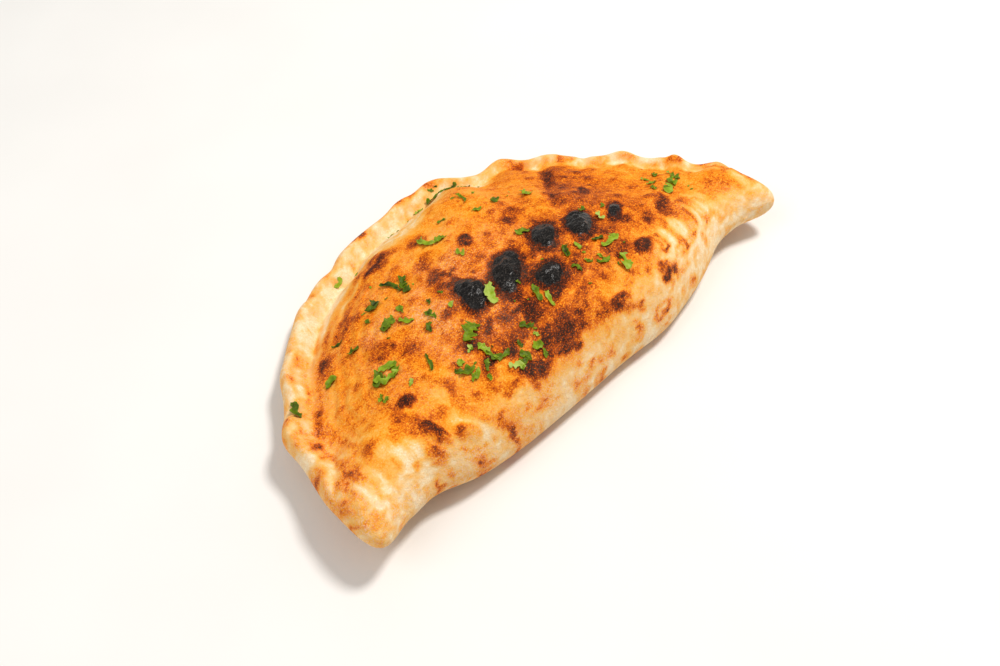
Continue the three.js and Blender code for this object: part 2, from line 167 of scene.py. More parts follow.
# Broad parts of the top that are browner than the rest, or paler: middle, half sizes, difference
BUSY_PART = (-8, 32, 52, 34)
BROWNER_PARTS = [
    (15, 50, 70, 48, 0.1),
    (76, 92, 30, 42, 0.08),
    (*BUSY_PART, 0.05),
    (8, 114, 46, 24, -0.11),
    (-62, 78, 48, 40, -0.035),
]
PALE_FLANK = (88, 12, 36, 20)
FLOURED_PART = (-36, 66, 64, 52)

# Spots that lie flat, brown or, where the strength is negative, pale: place, half sizes, turn, strength
SPOTS = [
    (-38, 76, 9, 4, 80, 0.14),
    (-27, 76, 7, 1.8, 80, 0.3),
    (-24, 101, 8, 5, 30, 0.24),
    (28, 88, 9, 5, 40, 0.24),
    (-12, 119, 8, 5, 40, 0.3),
    (78, 30, 6, 4.5, 0, 0.16),
    (90, 35, 6, 4, 0, 0.04),
    (1, 20, 6, 4, 0, 0.14),
    (-5, 27, 5, 4, 0, 0.12),
    (-17, 7, 9, 2, 338, 0.45),
    (-33, 37, 6, 5, 0, 0.2),
    (-43, 40, 5, 5, 0, 0.26),
    (-56, 39, 6, 5, 0, 0.2),
    (-46, 59, 5, 4, 0, 0.16),
    (-80, 33, 7, 13, 0, -0.2),
    (110, 30, 9, 5, 0, -0.08),
    (-104, 37, 3.5, 4.5, 0, 0.2),
    (-71, 64, 7, 6, 0, 0.2),
    (-97, 98, 10, 5, 50, 0.2),
    (-75, 110, 12, 4, 40, 0.2),
    (-117, 44, 7, 9, 0, -0.18),
    (-121, 62, 14, 8, 60, 0.1),
    (-127, 32, 12, 6, 10, 0.04),
    (-134, 38, 6, 4, 20, 0.05),
    (-32, 127, 12, 5, 20, 0.2),
    (77, 78, 7, 3.5, 40, 0.34),
    (80, 108, 12, 5, 45, 0.17),
    (64, 97, 22, 4, 50, 0.1),
    (86, 132, 10, 5, 45, 0.24),
    (30, 14, 6, 4, 0, -0.12),
    (48, 40, 14, 8, 20, 0.12),
    (92, 15, 9, 5, 20, 0.3),
    (104, 14, 5, 4, 0, 0.16),
    (45, -4, 4, 3, 0, 0.42),
    (77, 8, 4, 3, 0, 0.36),
    (84, 6, 4, 3, 0, 0.32),
    (74, -1, 5, 4, 0, 0.42),
    (64, -2, 3, 3, 0, 0.3),
    (42, 12, 7, 3, 330, 0.12),
    (8, 8, 12, 5, 340, 0.12),
    (68, 15, 6, 3, 0, 0.2),
    (116, 12, 6, 3, 10, 0.16),
    (-1, -1, 6, 4, 0, 0.3),
    (-11, -1, 4, 3, 0, 0.3),
    (14, -4, 4, 3, 0, 0.24),
    (-42, 1, 8, 5, 340, 0.32),
    (-52, 11, 6, 4, 0, 0.22),
    (-72, 7, 9, 4, 300, 0.24),
    (-79, 14, 9, 4, 300, 0.2),
    (-88, 3, 5, 3, 0, 0.3),
    (-97, 4, 4, 3, 0, 0.26),
    (-112, 9, 6, 4, 0, 0.2),
    (-148, 10, 8, 5, 70, 0.2),
    (-143, 36, 8, 4, 60, 0.3),
    (-15, 166, 5, 4, 0, 0.5),
    (24, 168, 10, 4, 0, 0.3),
    (46, 166, 8, 4, 340, 0.3),
    (109, 117, 8, 4, 320, 0.35),
    (130, 88, 7, 4, 310, 0.4),
    (142, 64, 6, 4, 300, 0.35),
    (150, 38, 6, 15, 0, 0.4),
    (138, 22, 9, 6, 20, 0.06),
]

# Chopped parsley, the larger leaves one by one: place, length, width, turn in degrees.
# Their torn outlines are drawn at random
LEAF_SEED = 194
LEAVES = [
    (-26, 50, 12.5, 5.5, 68),
    (-49, 43, 10.5, 8.5, 10),
    (-10, 35, 10, 4, 62),
    (-8, 28, 9, 2.4, 70),
    (42, 32, 14, 5, 8),
    (39, 19, 9, 6, 55),
    (30, 26, 8, 3, 340),
    (20, 42, 7.5, 4, 60),
    (15, 31, 6, 3, 100),
    (-12, 112, 13, 5.5, 95),
    (-8, 105, 6, 4, 350),
    (-66, 85, 9.5, 6, 10),
    (-56, 85, 6, 3.4, 70),
    (-60, 77, 8, 3, 125),
    (-52, 68, 8, 3, 95),
    (-60, 103, 8, 6, 20),
    (-46, 104, 15, 3, 95),
    (-43, 96, 9, 5, 80),
    (-40, 101, 8, 4, 45),
    (-94, 63, 9, 5.5, 30),
    (-86, 64, 9, 5, 150),
    (-90, 57, 10, 5, 355),
    (-84, 60, 7, 4.5, 70),
    (-103, 88, 7.5, 4, 0),
    (-125, 89, 11, 4.6, 70),
    (-66, 31, 10, 4, 325),
    (-51, 30, 12, 3, 100),
    (-48, 25, 10, 4, 340),
    (-46, 16, 8, 4, 330),
    (-41, 15, 8, 3.6, 20),
    (-27, 27, 7, 3.2, 320),
    (-30, 17, 6, 4, 340),
    (-73, 48, 12, 1.8, 60),
    (110, 43, 11, 6, 35),
    (118, 48, 8, 5, 60),
    (0, 153, 9, 4.4, 5),
    (22, 155, 8, 4, 20),
    (35, 156, 9, 4.2, 345),
    (44, 154, 10, 4, 340),
    (54, 150, 8, 2.4, 325),
    (-45, 150, 7, 2.6, 20),
    (24, 121, 11, 1.8, 75),
    (34, 104, 6, 4.4, 40),
    (50, 96, 8, 5, 70),
]

# The small flakes fall in loose groups: middle, spread and number
FLAKE_GROUPS = [
    (114, 54, 13, 8),
    (46, 154, 12, 4),
    (-46, 66, 12, 4),
    (-60, 28, 13, 6),
    (-34, 20, 10, 4),
    (-95, 54, 13, 5),
    (28, 34, 12, 4),
    (10, 92, 26, 4),
    (-76, 92, 18, 4),
    (58, 56, 12, 3),
]
FLAKE_SHORTEST = 2.6
FLAKE_LONGEST = 5.6
FLAKE_NARROWEST = 0.4
FLAKE_WIDEST = 0.75
FLAKE_SEED = 20811

# The torn flakes need this much more length to cover what the solid's whole ones do
FLAKE_GROWTH = 1.3

# Crumbs of leaf round the larger ones, and how far from the outline they stay
CRUMBS = 46
CRUMB_SHORTEST = 1.1
CRUMB_LONGEST = 2.4
CRUMB_SCATTER = 9.0
CRUMB_INSET = 8.0

LEAF_THICKNESS = 0.28
LEAF_STEPS_LONG = 33
LEAF_STEPS_WIDE = 11

# The outline is traced by rays from the middle, and the grids of the crust run between its sides
MIDDLE = (0.0, 66.0)
OUTLINE_RAYS = 1440
HALVINGS = 36
FAR = 400.0
COLUMNS = 320
TOP_EDGE_ROWS = 18
TOP_MIDDLE_ROWS = 200
BOTTOM_EDGE_ROWS = 10
BOTTOM_MIDDLE_ROWS = 26
EDGE_REACH = 16.0

# A hair smaller than the solid, so that the fine relief stays inside its box
FIT_ACROSS = 0.9996
FIT_UP = 0.99

TINY = 1e-6
NOISE_SIZE = 256
BUBBLE_LEAST = 0.35
FLOOR_HALF = 8.0
SKY_STRENGTH = 0.45


# Helpers for fields: smooth steps, noise and bubbles
def bump(t):
    """Bell shape: 1 at 0, and next to nothing from 2 on."""
    return np.exp(-t * t)


def ramp(low, high, value):
    """Smooth step from 0 at low to 1 at high."""
    t = np.clip((value - low) / (high - low), 0, 1)
    return t * t * (3 - 2 * t)


def patch(x, y, at_x, at_y, half_x, half_y):
    """Soft oval patch: 1 in its middle, and next to nothing beyond twice its half sizes."""
    return bump(np.hypot((x - at_x) / half_x, (y - at_y) / half_y))


def make_draw(seed):
    """The generator that the solid's flakes are drawn with, so that both have the same ones."""
    state = [seed]

    def draw():
        state[0] = (state[0] * 1664525 + 1013904223) % 4294967296
        return state[0] / 4294967296

    return draw


noise_tables = {}


def noise(x, y, step, seed):
    """Smooth uneven field between -1 and 1, with features about a step across."""
    if seed not in noise_tables:
        noise_tables[seed] = np.random.RandomState(seed).rand(NOISE_SIZE, NOISE_SIZE) * 2 - 1
    table = noise_tables[seed]
    u = x / step + 91.37
    v = y / step + 57.71
    i = np.floor(u).astype(int)
    j = np.floor(v).astype(int)
    fu = u - i
    fv = v - j
    fu = fu * fu * (3 - 2 * fu)
    fv = fv * fv * (3 - 2 * fv)
    near_i, near_j = i % NOISE_SIZE, j % NOISE_SIZE
    next_i, next_j = (i + 1) % NOISE_SIZE, (j + 1) % NOISE_SIZE
    low = table[near_i, near_j] * (1 - fu) + table[next_i, near_j] * fu
    high = table[near_i, next_j] * (1 - fu) + table[next_i, next_j] * fu
    return low * (1 - fv) + high * fv


def layered(x, y, step, seed, layers=3):
    """Noise of several steps, each half the one before."""
    total = np.zeros_like(x)
    share = 1.0
    weight = 0.0
    for layer in range(layers):
        turn = 0.7 * layer
        c, s = math.cos(turn), math.sin(turn)
        total += share * noise(x * c - y * s, x * s + y * c, step, seed + layer)
        weight += share
        share *= 0.55
        step *= 0.5
    return total / weight


def bubbles(x, y, step, seed, smallest, largest):
    """Scattered round domes, one at most in each square of a grid: height share from 0 to 1."""
    source = np.random.RandomState(seed)
    offset_x = source.rand(NOISE_SIZE, NOISE_SIZE)
    offset_y = source.rand(NOISE_SIZE, NOISE_SIZE)
    size = source.rand(NOISE_SIZE, NOISE_SIZE)
    base_i = np.floor(x / step).astype(int)
    base_j = np.floor(y / step).astype(int)
    best = np.zeros_like(x)
    for di in (-1, 0, 1):
        for dj in (-1, 0, 1):
            i = base_i + di
            j = base_j + dj
            key = (i % NOISE_SIZE, j % NOISE_SIZE)
            middle_x = (i + 0.15 + 0.7 * offset_x[key]) * step
            middle_y = (j + 0.15 + 0.7 * offset_y[key]) * step
            radius = smallest + (largest - smallest) * size[key] ** 2
            gap = np.hypot(x - middle_x, y - middle_y) / radius
            dome = np.clip(1 - gap * gap, 0, 1) * (0.5 + 0.5 * size[key])
            best = np.maximum(best, dome * (size[key] > BUBBLE_LEAST))
    return best


# The form of the calzone
def arc_angle(x, y):
    """Angle round the rim's arc from the right tip, in radians."""
    return np.arctan2(y / DEPTH, (x - ARC_SHIFT) / HALF_LENGTH)


def lobe_sum(x, y, kind):
    """What the rim's lobes add here: to its outline, or to its height."""
    angle = arc_angle(x, y)
    total = np.zeros_like(angle)
    for at, half, bulge, high in LOBES:
        along = (angle - math.radians(at)) * ARC_REACH
        total += (bulge if kind == "bulge" else high) * bump(along / half)
    return total


def from_rim(x, y):
    """Distance inwards from the pinched rim."""
    across = x - ARC_SHIFT
    rho = np.hypot(across / HALF_LENGTH, y / DEPTH)
    slope = np.hypot(across / HALF_LENGTH ** 2, y / DEPTH ** 2) / np.maximum(rho, TINY)
    return (1 - rho) / np.maximum(slope, TINY) + lobe_sum(x, y, "bulge")


def fold_line(x):
    """Where the fold's outline runs."""
    y = FOLD_BASE + FOLD_CURVE * (x - FOLD_CURVE_AT) ** 2 + FOLD_SLOPE * x
    for at, half, inward in FOLD_WAVES:
        y = y + inward * bump((x - at) / half)
    return y - TIP_SPREAD * ramp(TIP_FROM, TIP_TO, np.abs(x))


def from_fold(x, y):
    """Distance inwards from the fold."""
    return y - fold_line(x)


def inset(x, y):
    """Distance inwards from the nearer of rim and fold, with the tips' corners rounded."""
    rim = from_rim(x, y)
    fold = from_fold(x, y)
    least = np.minimum(rim, fold)
    share = np.exp((least - rim) / CORNER_ROUND) + np.exp((least - fold) / CORNER_ROUND)
    return least - CORNER_ROUND * np.log(share)


def lift(x):
    """How far the curled ends stand off the table."""
    left = np.maximum((-x - LEFT_LIFT_FROM) / LEFT_LIFT_RUN, 0)
    right = np.maximum((x - RIGHT_LIFT_FROM) / RIGHT_LIFT_RUN, 0)
    return LEFT_LIFT * left ** LIFT_POWER + RIGHT_LIFT * right ** LIFT_POWER


def edge_thickness(x, y):
    """Thickness of the edge: the thin rim, the thick fold, and the tips between them."""
    rim = np.maximum(from_rim(x, y), 0)
    fold = np.maximum(from_fold(x, y), 0)
    side = ramp(0.25, 0.8, rim / (rim + fold + TINY))
    plain = RIM_THICKNESS + (FOLD_THICKNESS - RIM_THICKNESS) * side
    tip = (1 - ramp(20, 62, fold)) * ramp(95, 140, np.abs(x))
    return plain + (TIP_THICKNESS - plain) * tip


def roundness(x, y, thickness):
    """0 on the outline, rising like a quarter of a circle to 1 further in."""
    share = np.clip(inset(x, y) / (0.5 * thickness), 0, 1)
    return np.sqrt(np.clip(1 - (1 - share) ** 2, 0, 1))


def swell(x, y):
    """Slow unevenness of the dome."""
    broad = 1.5 * np.sin(x / 21 + 1) * np.sin(y / 17 + 0.6)
    middling = np.sin(x / 11 - y / 14 + 2)
    small = 0.8 * np.sin(x / 8.5 + y / 10.5)
    return broad + middling + small


def spot_gap(x, y, spot_x, spot_y, long, short, turn):
    """Squared distance from a spot's middle, in its own half sizes, with a ragged edge."""
    c = math.cos(math.radians(turn))
    s = math.sin(math.radians(turn))
    u = ((x - spot_x) * c + (y - spot_y) * s) / long
    v = ((y - spot_y) * c - (x - spot_x) * s) / short
    ragged = 1 + 0.1 * np.sin(3 * np.arctan2(v, u) + spot_x)
    return (u * u + v * v) / ragged


def blister_rise(x, y):
    """Height of the blisters."""
    rise = np.zeros_like(x)
    for spot_x, spot_y, long, short, turn, high, _ in BLISTERS:
        gap = spot_gap(x, y, spot_x, spot_y, long, short, turn)
        rise += high * np.clip(1 - gap, 0, 1) ** 0.8
    return rise


def crease_depth(x, y):
    """Depth of the creases."""
    depth = np.zeros_like(x)
    for x1, y1, x2, y2, half, deep in CREASES:
        run_x = x2 - x1
        run_y = y2 - y1
        part = ((x - x1) * run_x + (y - y1) * run_y) / (run_x ** 2 + run_y ** 2)
        along = np.clip(part, 0, 1)
        gap = np.hypot(x - x1 - along * run_x, y - y1 - along * run_y)
        depth += deep * bump(gap / half)
    return depth


def ridge_rise(x, y, rim):
    """Height of the long low ridges."""
    flank = ramp(20, 30, rim) * (1 - ramp(50, 66, rim))
    left = ramp(20, 60, -x) * ramp(40, 70, y)
    return RIDGE_RISE * flank * left * np.sin(2 * np.pi * rim / RIDGE_STEP + x / 15)


def flange_width(angle):
    """From the rim to the groove behind the dome, at an angle round the arc in degrees."""
    return FLANGE_WIDTH_RIGHT + (FLANGE_WIDTH - FLANGE_WIDTH_RIGHT) * ramp(45, 85, angle)


def top_height(x, y):
    """Height of the top: the lifted edge, the groove and flange, and the dome."""
    rim = from_rim(x, y)
    fold = from_fold(x, y)
    thickness = edge_thickness(x, y)
    full = roundness(x, y, thickness)
    flange = ramp(26, 52, fold)
    angle = np.degrees(arc_angle(x, y))
    valley = flange_width(angle)
    inner = np.maximum(rim - valley * flange, 0)
    fold_side = (1 - np.exp(-np.maximum(fold, 0) / FOLD_SHOULDER)) ** 0.9
    rim_side = 1 - np.exp(-inner / RIM_SHOULDER)
    rise = DOME_RISE - LEFT_LOSS * ramp(20, 130, -x) - RIGHT_LOSS * ramp(30, 130, x)
    deep = GROOVE_LEAST + GROOVE_DEPTH * bump((angle - GROOVE_AT) / GROOVE_SPREAD)
    groove = deep * bump((rim - valley) / GROOVE_HALF) * flange
    lip = (LIP_RISE + lobe_sum(x, y, "high")) * bump((rim - 5) / 5) * flange
    uneven = swell(x, y) * ramp(4, 30, rim) * ramp(2, 25, fold)
    relief = uneven + lip - groove + blister_rise(x, y) + ridge_rise(x, y, rim)
    far_side = flange * ramp(52, 72, angle) * (1 - ramp(112, 135, angle))
    eased = FAR_SIDE_EASED * bump((inner - 9) / 9) * far_side
    crown = rise * fold_side * rim_side + relief - crease_depth(x, y) - eased
    return lift(x) + 0.5 * thickness * (1 + full) + full * crown


def bottom_height(x, y):
    """Height of the underside: flat, but for its rounded edges and lifted ends."""
    thickness = edge_thickness(x, y)
    return lift(x) + 0.5 * thickness * (1 - roundness(x, y, thickness))


# Finer relief and the browning of the crust
def char_field(x, y):
    """How charred the black blisters are at a point, from 0 to 1."""
    total = np.zeros_like(x)
    wobble = 0.2 * layered(x, y, 5, 300)
    for spot_x, spot_y, long, short, turn, _, burn in BLISTERS:
        if burn > BLACK_FROM:
            gap = spot_gap(x, y, spot_x, spot_y, long, short, turn)
            total = np.maximum(total, burn ** 2 * (1 - ramp(0.3, 1.15, gap + wobble)))
    return total


def scorch_field(x, y):
    """Extra browning: a halo round each black blister, and the brown blisters themselves."""
    total = np.zeros_like(x)
    wobble = 0.5 * layered(x, y, 6, 304)
    for spot_x, spot_y, long, short, turn, _, burn in BLISTERS:
        gap = spot_gap(x, y, spot_x, spot_y, long, short, turn) + wobble
        if burn > BLACK_FROM:
            total = np.maximum(total, 0.36 * burn * (1 - ramp(0.7, 2.0, gap)))
        else:
            total = np.maximum(total, 0.75 * burn * (1 - ramp(0.0, 1.6, gap)))
    return total


def fine_relief(x, y):
    """Small bubbles, pitted blisters, drawn and pinched dough: height on top of the solid's form."""
    rim = from_rim(x, y)
    fold = from_fold(x, y)
    angle = arc_angle(x, y)
    along = angle * ARC_REACH
    inside = ramp(1, 8, rim) * ramp(1, 8, fold)
    groove = bump((rim - flange_width(np.degrees(angle))) / 5) * ramp(26, 52, fold)
    filled = 1.3 * groove * ramp(2.2, 2.5, angle)
    char = char_field(x, y)
    rough = 0.5 * layered(x, y, 9, 310) + 0.3 * layered(x, y, 2.8, 320, 2)
    small = 0.8 * bubbles(x, y, 13, 330, 1.4, 4.4) * ramp(8, 22, fold)
    pebbles = 1.1 * bubbles(x, y, 4.2, 344, 1.4, 3) + 0.9 * layered(x, y, 6, 340, 2) - 0.5
    crusty = char ** 2 * pebbles
    drawn = 0.5 * np.sin(x / 4.6 + 2.4 * noise(x, y, 30, 350)) * bump((fold - 7) / 9) * bump(x / 105)
    flange = bump((rim - 7) / 7) * ramp(14, 40, fold)
    pinched = 1.5 * noise(along, rim, 10, 360) + 0.8 * noise(along, 0.5 * rim, 4, 370)
    strands = 0.32 * noise(0.22 * along, rim, 2.2, 380) * bump((rim - 26) / 16) * ramp(30, 60, fold)
    relief = rough + small + crusty + drawn + flange * pinched + strands + filled
    return inside * relief - 0.25 * inside


def travel(x, y):
    """Way up and over from the fold's outline, so that a spot keeps its size on the steep side."""
    rise = top_height(x, y) - 0.5 * edge_thickness(x, y) - lift(x)
    return from_fold(x, y) + rise * (1 - ramp(14, 34, y))


def tuck_toast(x, y):
    """Browning on both sides of the tuck's line: more to its right, less to its left."""
    x1, y1, x2, y2 = TUCK
    length = math.hypot(x2 - x1, y2 - y1)
    along = ((x - x1) * (x2 - x1) + (y - y1) * (y2 - y1)) / length
    side = ((x - x1) * (y2 - y1) - (y - y1) * (x2 - x1)) / length + noise(x, y, 7, 445)
    window = ramp(-8, 12, along) * (1 - ramp(length, length + 14, along))
    browner = 0.15 * ramp(0, 2, side) * bump(side / 20)
    paler = 0.09 * ramp(0, 2, -side) * bump(side / 13)
    return window * (browner - paler)


def toasted_part(x, y, rim, fold, angle, streaky):
    """1 where the top is toasted, down to 0 on the pale dough along the rim and the fold."""
    wobble = layered(x, y, 16, 400)
    pale_rim = 9 + 8 * ramp(45, 85, angle) + 14 * bump((angle - 101) / 19) + 9 * bump((angle - 84) / 13)
    pale_rim -= 10 * ramp(120, 142, angle)
    pale_fold = 8 + 17 * bump((x - 78) / 26) + 6 * bump((x - 36) / 18) + 12 * bump((x + 128) / 22)
    up_rim = ramp(-6, 9, rim - pale_rim + 6 * wobble + 2 * streaky)
    up_fold = ramp(-10, 14, fold - pale_fold + 8 * wobble + 5 * layered(x, y, 6, 455))
    return up_rim * up_fold


def toast_depth(x, y):
    """How brown the toasted part is, without its spots."""
    depth = TOASTED - 0.02 * ramp(70, 125, -x) - 0.02 * ramp(92, 125, x)
    for at_x, at_y, half_x, half_y, difference in BROWNER_PARTS:
        depth += difference * patch(x, y, at_x, at_y, half_x, half_y)
    return depth + 0.16 * bubbles(x, y, 13, 330, 1.4, 4.4) + tuck_toast(x, y)


def rim_toast(x, y, rim, fold, angle):
    """Browning of the pinched rim: parts of its outer edge, and marks on the pale flange."""
    edge = ramp(10, 28, fold) * (0.5 + 0.9 * noise(x, y, 14, 410))
    marks = 0.03 + 0.5 * layered(angle * 2.8, rim, 7, 415)
    marked = ramp(14, 30, fold) * (1 - ramp(11, 19, rim)) * (0.4 + 0.6 * ramp(0, 6, rim))
    paler = 0.06 * bump((rim - 8) / 8) * ramp(14, 40, fold)
    return 0.3 * bump((rim - 1.5) / 5) * np.maximum(edge, 0) + marked * marks - paler


def mottling(x, y, run, fold, reach):
    """Blotches all over, specks on the pale dough and the tips, and flecks on the fold's flank."""
    busy = patch(x, y, *BUSY_PART)
    broad = (0.08 + 0.08 * busy) * layered(x, y, 13, 420)
    fine = (0.1 + 0.07 * busy) * layered(x, y, 5, 430, 2)
    tips = ramp(100, 122, -x) + 0.4 * ramp(92, 125, x)
    specks = (0.2 * (1 - reach) + 0.12 * tips) * layered(x, run, 3.4, 435, 2)
    fleck = layered(x, run, 7, 450)
    brown_flecks = 0.45 * ramp(0.12, 0.56, fleck) * bump((fold - 10) / 26)
    pale_flecks = 0.12 * ramp(0.1, 0.5, -fleck) * bump(fold / 20)
    flank = (1 - reach) * (1 - 0.75 * ramp(105, 130, np.abs(x)))
    return (0.7 + 0.3 * reach) * (broad + fine) + specks + flank * (brown_flecks - pale_flecks)


def spot_toast(x, run):
    """The spots that lie flat, each as far up from the fold as it is listed."""
    ragged = 0.6 * layered(x, run, 6, 440)
    total = np.zeros_like(x)
    for spot_x, spot_y, long, short, turn, strength in SPOTS:
        spot_run = travel(np.array([spot_x], float), np.array([spot_y], float))[0]
        gap = spot_gap(x, run, spot_x, spot_run, long, short, turn)
        total += strength * (1 - ramp(0.1, 1.7, gap + ragged))
    return total


def toast_field(x, y):
    """Browning of the whole crust."""
    rim = from_rim(x, y)
    fold = from_fold(x, y)
    angle = np.degrees(arc_angle(x, y))
    run = travel(x, y)
    streaky = noise(0.14 * np.radians(angle) * ARC_REACH, rim, 3, 405)
    reach = toasted_part(x, y, rim, fold, angle, streaky)
    toast = PALE_DOUGH + reach * toast_depth(x, y) - 0.06 * patch(x, y, *PALE_FLANK)
    toast += rim_toast(x, y, rim, fold, angle) + mottling(x, y, run, fold, reach)
    toast += 0.22 * streaky * bump((rim - 24) / 16) * ramp(100, 118, angle) * ramp(20, 40, fold)
    toast += spot_toast(x, run) + scorch_field(x, y)
    return np.clip(toast, PALEST, DARKEST)


def flour_field(x, y):
    """Dusting of flour left along the edges, and thinly over the middle of the dome."""
    rim = from_rim(x, y)
    fold_edge = bump(from_fold(x, y) / (9 + 16 * bump((x - 85) / 45)))
    edge = np.maximum(fold_edge, bump(rim / 9))
    pinched = 0.7 * bump((rim - 12) / 10) * ramp(60, 85, np.degrees(arc_angle(x, y)))
    edge = np.maximum(edge, pinched) * (0.75 + 0.7 * layered(x, y, 9, 460))
    dome = 0.9 * patch(x, y, *FLOURED_PART) * (0.5 + 1.3 * layered(x, y, 12, 465))
    return np.clip(edge + dome, 0, 1)


def base_toast(x, y):
    """Browning of the underside: pale, with scorched spots where it met the oven floor."""
    spots = bubbles(x, y, 17, 470, 3, 9) * (0.6 + 0.4 * noise(x, y, 4, 490))
    return np.clip(0.3 + 0.16 * layered(x, y, 24, 480) + 0.45 * spots, 0, 0.9)


# The outline and the grids of the crust
def trace_outline():
    """Points round the outline, one on each ray from the middle."""
    angle = 2 * np.pi * np.arange(OUTLINE_RAYS) / OUTLINE_RAYS
    near = np.zeros(OUTLINE_RAYS)
    far = np.full(OUTLINE_RAYS, FAR)
    for _ in range(HALVINGS):
        half = (near + far) / 2
        inside = inset(MIDDLE[0] + half * np.cos(angle), MIDDLE[1] + half * np.sin(angle)) > 0
        near = np.where(inside, half, near)
        far = np.where(inside, far, half)
    return np.stack([MIDDLE[0] + near * np.cos(angle), MIDDLE[1] + near * np.sin(angle)], 1)


def spaced(points, first, last, columns):
    """Points along a run of the outline, closer together near both ends."""
    step = 1 if last > first else -1
    path = points[np.arange(first, last + step, step) % len(points)]
    lengths = np.r_[0, np.cumsum(np.hypot(*np.diff(path, axis=0).T))]
    even = np.arange(columns + 1) / columns
    target = lengths[-1] * (0.6 * even + 0.4 * (1 - np.cos(np.pi * even)) / 2)
    return np.stack([np.interp(target, lengths, path[:, 0]), np.interp(target, lengths, path[:, 1])], 1)


def sheet_places(edge_rows, middle_rows):
    """A grid from the fold's run to the rim's, with rows closer together near both edges."""
    width = np.hypot(*(rim_run - fold_run).T)
    reach = np.minimum(EDGE_REACH / np.maximum(width, TINY), 0.3)[:, None]
    near = (np.arange(edge_rows) / edge_rows) ** 1.7
    near = near[None, :] * reach
    middle = reach + (1 - 2 * reach) * (np.arange(middle_rows + 1) / middle_rows)[None, :]
    share = np.concatenate([near, middle, 1 - near[:, ::-1]], 1)[..., None]
    place = fold_run[:, None, :] + share * (rim_run - fold_run)[:, None, :]
    return place[..., 0], place[..., 1]


def edge_runs():
    """The fold and the rim, each as points from the left tip to the right one."""
    outline = trace_outline()
    right_tip = int(np.argmax(outline @ np.array([1, -0.35])))
    left_tip = int(np.argmax(outline @ np.array([-1, -0.35])))
    fold_end = right_tip + OUTLINE_RAYS if right_tip < left_tip else right_tip
    rim_end = right_tip - OUTLINE_RAYS if right_tip > left_tip else right_tip
    return spaced(outline, left_tip, fold_end, COLUMNS), spaced(outline, left_tip, rim_end, COLUMNS)


fold_run, rim_run = edge_runs()
both_runs = np.vstack([fold_run, rim_run])
CENTRE = (both_runs.min(0) + both_runs.max(0)) / 2


def to_part(x, y, z):
    """From the fold frame in millimetres to the part's frame in metres."""
    across = (x - CENTRE[0]) * FIT_ACROSS
    deep = (y - CENTRE[1]) * FIT_ACROSS
    return np.stack([across * MM, deep * MM, z * FIT_UP * MM], -1)


def merge_same(points, faces, values):
    """Merges points that lie on each other, and drops faces that this flattens."""
    keys = np.round(points * 1e7).astype(np.int64)
    _, first, back = np.unique(keys, axis=0, return_index=True, return_inverse=True)
    back = back.reshape(-1)
    clean = []
    for face in back[faces]:
        corners = [face[0]]
        for corner in face[1:]:
            if corner != corners[-1]:
                corners.append(corner)
        if corners[0] == corners[-1]:
            corners.pop()
        if len(corners) >= 3:
            clean.append([int(c) for c in corners])
    return points[first], clean, {name: value[first] for name, value in values.items()}


def grid_faces(columns, rows, start, upwards):
    """Four-sided faces of a grid of points."""
    k, m = np.meshgrid(np.arange(columns - 1), np.arange(rows - 1), indexing="ij")
    a = (start + k * rows + m).ravel()
    corners = np.stack([a, a + rows, a + rows + 1, a + 1], 1)
    return corners if upwards else corners[:, ::-1]


def make_object(name, points, faces, values, material):
    """A smooth piece with a value at each point for every name in values."""
    mesh = bpy.data.meshes.new(name)
    mesh.from_pydata([tuple(p) for p in points], [], faces)
    for attribute_name, value in values.items():
        attribute = mesh.attributes.new(attribute_name, "FLOAT", "POINT")
        attribute.data.foreach_set("value", np.asarray(value, dtype=np.float32))
    mesh.polygons.foreach_set("use_smooth", [True] * len(mesh.polygons))
    mesh.materials.append(material)
    mesh.update()
    piece = bpy.data.objects.new(name, mesh)
    bpy.context.scene.collection.objects.link(piece)
    return piece


# Materials
def linear(red, green, blue):
    """A colour as a screen shows it, 0 to 255, to linear light."""
    out = []
    for value in (red, green, blue):
        v = value / 255
        out.append(v / 12.92 if v <= 0.04045 else ((v + 0.055) / 1.055) ** 2.4)
    return (*out, 1.0)


